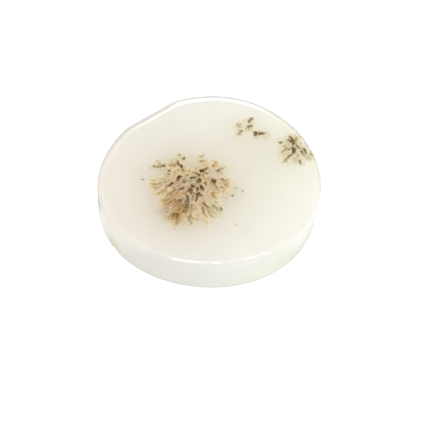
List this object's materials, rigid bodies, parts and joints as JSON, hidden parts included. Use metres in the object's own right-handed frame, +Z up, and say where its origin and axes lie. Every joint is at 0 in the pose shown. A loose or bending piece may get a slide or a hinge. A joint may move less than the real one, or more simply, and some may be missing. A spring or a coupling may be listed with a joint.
{
  "type": "dendritic agate slice",
  "caption": "Polished, nearly round slice of milky agate with brown tree-like inclusions under its flat top face, lying flat on its underside.",
  "frame": {"origin": "middle of the slice's outline, on the flat underside that it rests on", "axes": "+Z up, square to the polished top face; the rim's ground flat faces -X +Y, and the pictured side faces -Y"},
  "size_m": [0.0312, 0.0312, 0.0058],
  "materials": {
    "chalcedony": "polished, translucent milky white with a faint cream and green cast",
    "dendrites": "brown iron and manganese oxide sealed in the stone, cut and polished with it where it meets the surface"
  },
  "bodies": {
    "root": {"agate_slice": "chalcedony"}
  },
  "joints": []
}
